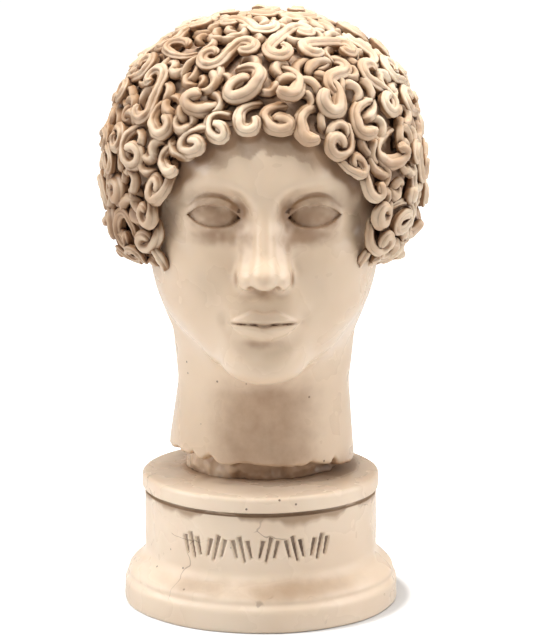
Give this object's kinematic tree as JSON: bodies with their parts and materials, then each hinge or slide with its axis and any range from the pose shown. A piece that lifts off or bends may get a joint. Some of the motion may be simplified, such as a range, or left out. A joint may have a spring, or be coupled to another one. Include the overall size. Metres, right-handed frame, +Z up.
{
  "type": "cast head on round plinth",
  "caption": "Small cast ornament: a curly-haired youth's head with a broken neck edge, standing on a round moulded plinth with a row of shallow cut strokes.",
  "frame": {"origin": "middle of the plinth's flat underside, which stands on the table", "axes": "+Z up, -Y the way the face looks, +X to the right in a view from the front"},
  "size_m": [0.0833, 0.0855, 0.1504],
  "materials": {
    "plinth": "satin",
    "head": "satin"
  },
  "bodies": {
    "root": {"plinth": "plinth", "head": "head"}
  },
  "joints": []
}
